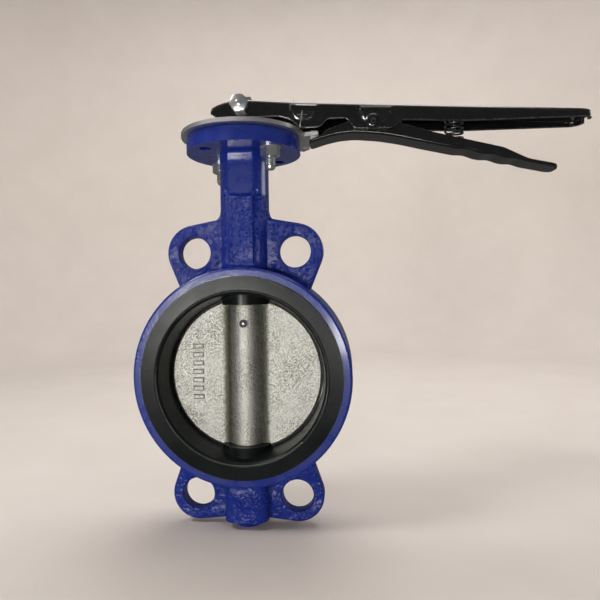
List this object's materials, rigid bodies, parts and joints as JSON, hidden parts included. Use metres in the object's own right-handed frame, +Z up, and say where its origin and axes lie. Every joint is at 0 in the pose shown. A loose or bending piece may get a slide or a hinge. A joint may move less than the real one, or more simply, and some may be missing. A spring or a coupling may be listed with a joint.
{
  "type": "butterfly valve",
  "caption": "Wafer butterfly valve with a lined round bore, a centred disc on a stem, eared casting, notched plate and a squeeze lever.",
  "frame": {"origin": "centre of the disc, where the stem axis crosses the bore axis", "axes": "+Z up the stem towards the lever, +Y along the bore, +X along the lever in the closed position"},
  "size_m": [0.3464, 0.1089, 0.3393],
  "materials": {
    "blue_epoxy": "glossy fusion-bonded epoxy over cast iron",
    "black_epdm": "moulded EPDM with a slight sheen",
    "seal_rubber": "moulded O-ring rubber",
    "bush_polymer": "filled PTFE",
    "nickel_plate": "nickel-plated sand casting",
    "stainless": "turned stainless steel",
    "zinc_plate": "bright zinc plate on sheet steel",
    "zinc_fastener": "zinc-plated fasteners",
    "black_ecoat": "gloss black coat on pressed steel",
    "spring_steel": "dark oiled spring steel",
    "tooth_steel": "hardened steel"
  },
  "bodies": {
    "root": {"flange_washer_back": "zinc_fastener", "flange_washer_front": "zinc_fastener", "foot_bush": "bush_polymer", "neck_bush": "bush_polymer", "notch_plate": "zinc_plate", "plate_bolt_back": "zinc_fastener", "plate_bolt_front": "zinc_fastener", "plate_nut_back": "zinc_fastener", "plate_nut_front": "zinc_fastener", "retaining_clip": "spring_steel", "seat_liner": "black_epdm", "stem_o_ring_high": "seal_rubber", "stem_o_ring_low": "seal_rubber", "top_bush": "bush_polymer", "valve_body": "blue_epoxy"},
    "rotor": {"disc": "nickel_plate", "disc_pin": "stainless", "upper_stem": "stainless", "lower_stem": "stainless", "lever_arm": "black_ecoat", "lever_socket": "black_ecoat", "lever_bolt": "zinc_fastener", "lever_nut": "zinc_fastener", "lever_spring_washer": "zinc_fastener", "front_pin": "black_ecoat", "pivot_rivet": "black_ecoat", "spring_stud": "black_ecoat", "trigger_spring": "spring_steel"},
    "trigger": {"trigger": "black_ecoat", "locking_tooth": "tooth_steel"}
  },
  "joints": [
    {"name": "stem_turn", "type": "hinge", "parent": "root", "child": "rotor", "pos_m": [0, 0, 0], "axis": [0, 0, 1], "range_deg": [0, 90]},
    {"name": "trigger_squeeze", "type": "hinge", "parent": "rotor", "child": "trigger", "pos_m": [0.1016, 0, 0.1927], "axis": [0, -1, 0], "range_deg": [0, 8.5], "stiffness_Nm_per_rad": 6, "springref_deg": -6.88, "deforming": ["trigger_spring"]}
  ]
}
